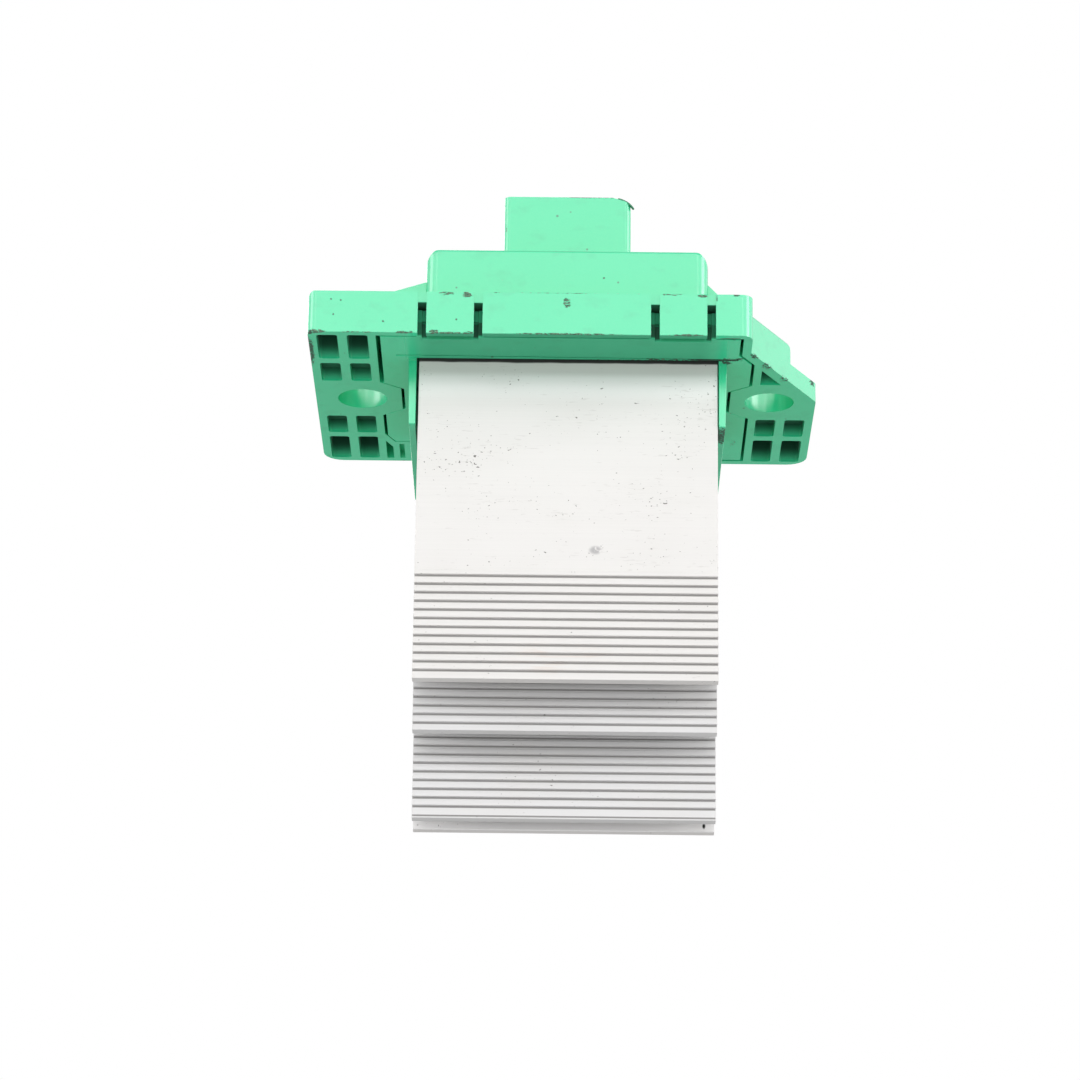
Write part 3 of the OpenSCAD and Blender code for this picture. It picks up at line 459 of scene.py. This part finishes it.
crisp = (0.15, 0.15, 0.15)
slots = (-20.6, -12.6, 12.6, 20.6)
carrier_mint = mint_moulding(
    "carrier_mint",
    (0.02, 0.60, 0.285, 1),
    [((16, -15.8, 0.1), (11, 0.7, 0.8), 0.55), ((23.5, -16.4, 0.0), (2.0, 0.8, 0.4), 0.5)],
    # Dark spots: dirt on one ear; the lines along the front groove, the gap under the skirt and the ear's
    # top are partly dirt and partly painted shade.
    [((22.5, -11.8, -10.1), (1.5, 5.0, 0.8), 0.68), ((21.9, -5.5, -10.1), (0.6, 5.0, 0.8), 0.55),
     ((23.3, -23.65, 0.1), (2.5, 0.45, 0.6), 1.3), ((21.4, -15.9, 0.0), (5.6, 0.5, 0.8), 0.95),
     ((22.9, -14.9, 0.0), (1.3, 1.1, 0.6), 0.8), ((24.8, 3.9, 0.0), (0.8, 1.0, 0.4), 0.7),
     ((25.3, 16.2, 0.0), (0.9, 2.6, 0.4), 0.36),
     ((24.9, -16.5, 0.0), (0.8, 0.5, 0.5), 0.75), ((12, -15.8, 0.2), (15, 0.35, 0.6), 0.5)],
    # Painted shade where the housing's slots show the rim, and along the front bar.
    [((x - 0.75, -24.6, 0.1), (x + 0.75, -20.0, 6.0), crisp, 0.4, 0.62) for x in slots]
    + [((-24, -24.9, -0.5), (24, -15.2, 2.4), (5, 0.15, 0.15), 0.3, 0.36)],
)
finished_copy("heat_sink_carrier", "carrier_moulding", carrier_mint, 0.12)

# Housing: one injection moulding in mint plastic, a cored flange with two screw ears, a raised box
# for the electronics and the plug's socket. Scuffed brown along the skirt's lower edge and near the
# tongues' roots, with a rough oval where the sprue was broken off the skirt's front. Painted shade
# darkens its pockets, its slots and the underside of the skirt's front, and the dark lines along the
# gaps near its right end are partly dirt and partly painted shade.
housing_mint = mint_moulding(
    "housing_mint",
    (0.03, 0.60, 0.295, 1),
    [((-35.6, -25, 0.1), (2.2, 1.0, 0.45), 0.68), ((-23.2, -25, 0.05), (2.2, 0.7, 0.35), 0.68),
     ((0, -25, 0.0), (13, 0.6, 0.25), 0.62), ((-29.5, -25, 0.0), (5, 0.5, 0.2), 0.5),
     ((-18.9, -25, 0.1), (1.3, 0.8, 0.55), 0.7), ((-14.1, -25, 0.05), (1.3, 0.8, 0.4), 0.66),
     ((-16.5, -25, 0.0), (3.6, 0.6, 0.25), 0.7), ((17, -25, 0.0), (3.6, 0.6, 0.25), 0.72),
     ((-17.2, -25, 6.15), (1.9, 0.9, 0.5), 0.6), ((-14.2, -25, 5.95), (1.1, 0.8, 0.6), 0.78),
     ((15, -25, 6.3), (2.4, 0.8, 0.3), 0.58), ((19.5, -25, 6.1), (1.4, 0.8, 0.4), 0.75),
     ((24.1, -25, 6.3), (0.7, 0.7, 0.4), 0.8), ((0, -25, 4.75), (0.85, 0.5, 1.2), 0.66),
     ((0, -25, 6.35), (24, 0.4, 0.2), 0.45)],
    # Dark spots and lines; those along the gaps near the right end are partly dirt and partly painted
    # shade.
    [((-33.6, -25, 5.04), (0.2, 0.2, 0.2), 0.9), ((-32.2, -25, 4.9), (0.2, 0.2, 0.2), 0.9),
     ((-33.2, -25, 2.7), (0.2, 0.2, 0.2), 0.8), ((-26.1, -25, 1.7), (0.22, 0.2, 0.22), 0.9),
     ((-15.7, -25, 2.1), (0.2, 0.2, 0.2), 0.9), ((5.3, -19, 11.4), (0.22, 0.2, 0.22), 0.9),
     ((21.35, -25, 5.7), (0.12, 0.4, 0.9), 0.7), ((27.2, -17.8, 0.0), (1.3, 1.8, 0.5), 0.66),
     ((29.2, -14.3, 0.0), (1.5, 2.4, 0.4), 0.6), ((31.9, -9.4, 0.1), (1.8, 3.0, 0.3), 0.5),
     ((36.26, -1.54, 2.6), (0.9, 1.2, 0.8), 0.75), ((-9.1, -7, 24.5), (0.35, 0.6, 1.2), 0.5),
     ((3.5, -7, 29.75), (6, 0.5, 0.14), 0.75), ((-36.6, -24.6, 0.0), (0.7, 0.9, 0.6), 0.9),
     ((-36.7, -18, 0.0), (0.8, 8.0, 0.35), 0.7), ((23.3, -23.8, 0.0), (2.4, 0.35, 0.4), 1.2)],
    # Painted shade: darker deeper in the pockets, in the slots and under the skirt's front.
    [((-35.8, -23.95, 0), (-28.2, -7.9, 5.5), crisp, 2.4, 0.85),
     ((-35.8, -8.05, 0), (-28.2, -6.65, 2.4), crisp, 2.4, 0.85),
     ((-35.8, 7.9, 0), (-28.2, 23.95, 5.5), crisp, 2.4, 0.9),
     ((-35.8, 6.65, 0), (-28.2, 8.05, 2.4), crisp, 2.4, 0.9),
     ((28.2, 7.9, 0), (35.8, 23.95, 5.5), crisp, 2.4, 0.9),
     ((28.2, 6.65, 0), (35.8, 8.05, 2.4), crisp, 2.4, 0.9),
     ((28.2, -11.2, 0), (30.4, -6.65, 2.4), crisp, 2.4, 0.9),
     ((30.4, -8.9, 0), (31.6, -6.65, 2.4), crisp, 2.4, 0.9),
     ((-20.2, -24.85, -0.5), (20.2, -23.5, 0.2), crisp, 0.3, 0.45)]
    + [((x - 0.72, -24.9, -0.2), (x + 0.72, -20.0, 4.9), crisp, 4.8, 0.8) for x in slots],
)
left_end = (lambda corner: corner.x < -35, (-35.8, 0, 5.3), 1.05, (108, 126, 144, 162))
socket_side = (lambda corner: corner.z > 20, (6.83, 0, 26.28), 3.3, (44, 54, 64, 74))
trims = (left_end, socket_side)
under_box_top = 15.1
finished_copy(
    "housing", "housing_moulding", housing_mint, 0.15, trims, levels=(under_box_top,)
)

# Torn flash: a thin curl of plastic left along the socket's rounded corner where the two halves of the
# mould met, standing a little off its side. The same plastic in a darker colour.
torn_flash, shader, place = surface("torn_flash", {"Roughness": 0.4})
tear = noise(place, (0.3, 0.3, 0.3), 3.0)
feed(shader, {
    "Base Color": laid_over((0.01, 0.13, 0.06, 1), ease(tear, 0.4, 0.65), (0.03, 0.26, 0.13, 1)),
    "Normal": relief(tear, 0.05),
})
flash_thick = 0.25
flash_deep = 0.5
flash_root = Vector((9.72, -6.7, 28.08)) * MM
flash_middle = Vector((6.83, -6.7, 26.28)) * MM
flash_turn = math.radians(48)
bpy.ops.object.select_all(action="DESELECT")
bpy.ops.mesh.primitive_plane_add(size=MM, location=(0, 0, 0))
flash = bpy.context.active_object
flash.name = "socket_flash"
bpy.ops.object.mode_set(mode="EDIT")
bpy.ops.transform.resize(value=(flash_thick, flash_deep, 1))
bpy.ops.transform.translate(value=flash_root)
bpy.ops.mesh.spin(steps=8, angle=flash_turn, center=flash_middle, axis=(0, 1, 0))
bpy.ops.mesh.select_all(action="SELECT")
bpy.ops.mesh.normals_make_consistent(inside=False)
bpy.ops.object.mode_set(mode="OBJECT")
flash.data.materials.append(torn_flash)
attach(flash, "root")

# Terminals: two power blades and two signal pins, stamped from tinned copper strip and pushed up
# through the box's roof into the socket, with their edges lightly coined.
for terminal in ("power_blade_left", "power_blade_right", "signal_pin_left", "signal_pin_right"):
    finished_copy(terminal, terminal + "_strip", tinned_copper, 0.08)

# Studio: a wide pale floor just under the fins that can be looked through from below, a white
# surround, and soft lamps on both sides of the front, above it and behind.
floor_gap = 0.4 * MM
floor_span = 6
floor_tone = (0.52, 0.52, 0.52, 1)
floor_glow = 0.78
bpy.ops.object.select_all(action="DESELECT")
bpy.ops.mesh.primitive_plane_add(size=floor_span, location=(0, 0, cad_low.z - floor_gap))
floor = bpy.context.active_object
floor.name = "floor"
floor_paint = bpy.data.materials.new("floor_paint")
floor_paint.use_nodes = True
tree = floor_paint.node_tree
tree.nodes.remove(tree.nodes["Principled BSDF"])


def directly_seen(tree):
    """1 for what the camera, gloss or glass sees, and 0 for the light that the surface passes on."""
    rays = tree.nodes.new("ShaderNodeLightPath")
    camera_ray = Field(rays.outputs["Is Camera Ray"])
    seen = camera_ray.maths("MAXIMUM", camera_ray, Field(rays.outputs["Is Glossy Ray"]))
    return seen.maths("MAXIMUM", seen, Field(rays.outputs["Is Transmission Ray"]))


seen = directly_seen(tree)
underside = Field(tree.nodes.new("ShaderNodeNewGeometry").outputs["Backfacing"])
from_below = Field(tree.nodes.new("ShaderNodeLightPath").outputs["Is Shadow Ray"])
see_through = underside.maths("MAXIMUM", underside, from_below)
paint = seen.node("ShaderNodeBsdfDiffuse", {}, {"Color": floor_tone})
clear = seen.node("ShaderNodeBsdfTransparent", {}, {})
glow = seen.node("ShaderNodeEmission", {}, {"Color": (1, 1, 1, 1), "Strength": floor_glow})
lit = paint.node("ShaderNodeMixShader", {}, {0: seen, 1: glow, 2: paint})
both = lit.node("ShaderNodeMixShader", {}, {0: see_through, 1: lit, 2: clear})
tree.links.new(both.socket, tree.nodes["Material Output"].inputs["Surface"])
floor.data.materials.append(floor_paint)

surround = bpy.data.worlds.new("surround")
bpy.context.scene.world = surround
surround.use_nodes = True
background = surround.node_tree.nodes["Background"]
background.inputs["Color"].default_value = (1, 1, 1, 1)
fill = 0.25
feed(background, {"Strength": directly_seen(surround.node_tree) * (1 - fill) + fill})


def softbox(name, place, width, height, watts):
    """A rectangular lamp that faces the part, with its place and size in metres."""
    lamp = bpy.data.lights.new(name, "AREA")
    lamp.shape = "RECTANGLE"
    lamp.size = width
    lamp.size_y = height
    lamp.energy = watts
    box = bpy.data.objects.new(name, lamp)
    bpy.context.scene.collection.objects.link(box)
    box.location = place
    box.rotation_euler = (-Vector(place)).to_track_quat("-Z", "Y").to_euler()


softbox("softbox_key", (0.0, -1.0, 0.42), 0.7, 0.5, 2.3)
softbox("softbox_low", (0.0, -1.0, -0.21), 0.8, 0.3, 2.0)
softbox("softbox_left", (-0.52, -0.86, 0.4), 0.7, 0.32, 1.6)
softbox("softbox_right", (0.52, -0.86, 0.4), 0.7, 0.32, 1.6)
softbox("panel_left", (-0.94, -0.36, 0.36), 0.6, 0.4, 3.3)
softbox("panel_right", (0.94, -0.36, 0.36), 0.6, 0.4, 4.4)
softbox("side_left", (-1.0, 0.2, 0.25), 0.5, 0.8, 1.0)
softbox("side_right", (1.0, 0.2, 0.25), 0.5, 0.8, 1.0)
softbox("softbox_rim", (0.85, 0.52, 0.38), 0.5, 0.6, 0.8)
softbox("softbox_back", (-0.3, 0.95, 0.55), 0.8, 0.6, 4.0)
bpy.context.scene.view_settings.view_transform = "Standard"

# Camera: a long lens a little over half a metre in front of the part and below its flange, so that
# it looks up under the flange and along the front fin.
camera_pitch = math.radians(20.276)
camera_yaw = math.radians(-0.330)
camera_roll = math.radians(0.7187)
camera_place = Vector((-0.331, -560.215, -228.935)) * MM
focal_pixels = 4096.8
frame_pixels = 1080
lens = bpy.data.cameras.new("camera")
lens.sensor_width = 36
lens.lens = lens.sensor_width * focal_pixels / frame_pixels
lens.clip_start = 0.01
lens.clip_end = 50
camera = bpy.data.objects.new("camera", lens)
bpy.context.scene.collection.objects.link(camera)
camera.matrix_world = (
    Matrix.Translation(camera_place)
    @ Matrix.Rotation(-camera_yaw, 4, "Z")
    @ Matrix.Rotation(math.pi / 2 + camera_pitch, 4, "X")
    @ Matrix.Rotation(camera_roll, 4, "Z")
)
bpy.context.scene.camera = camera
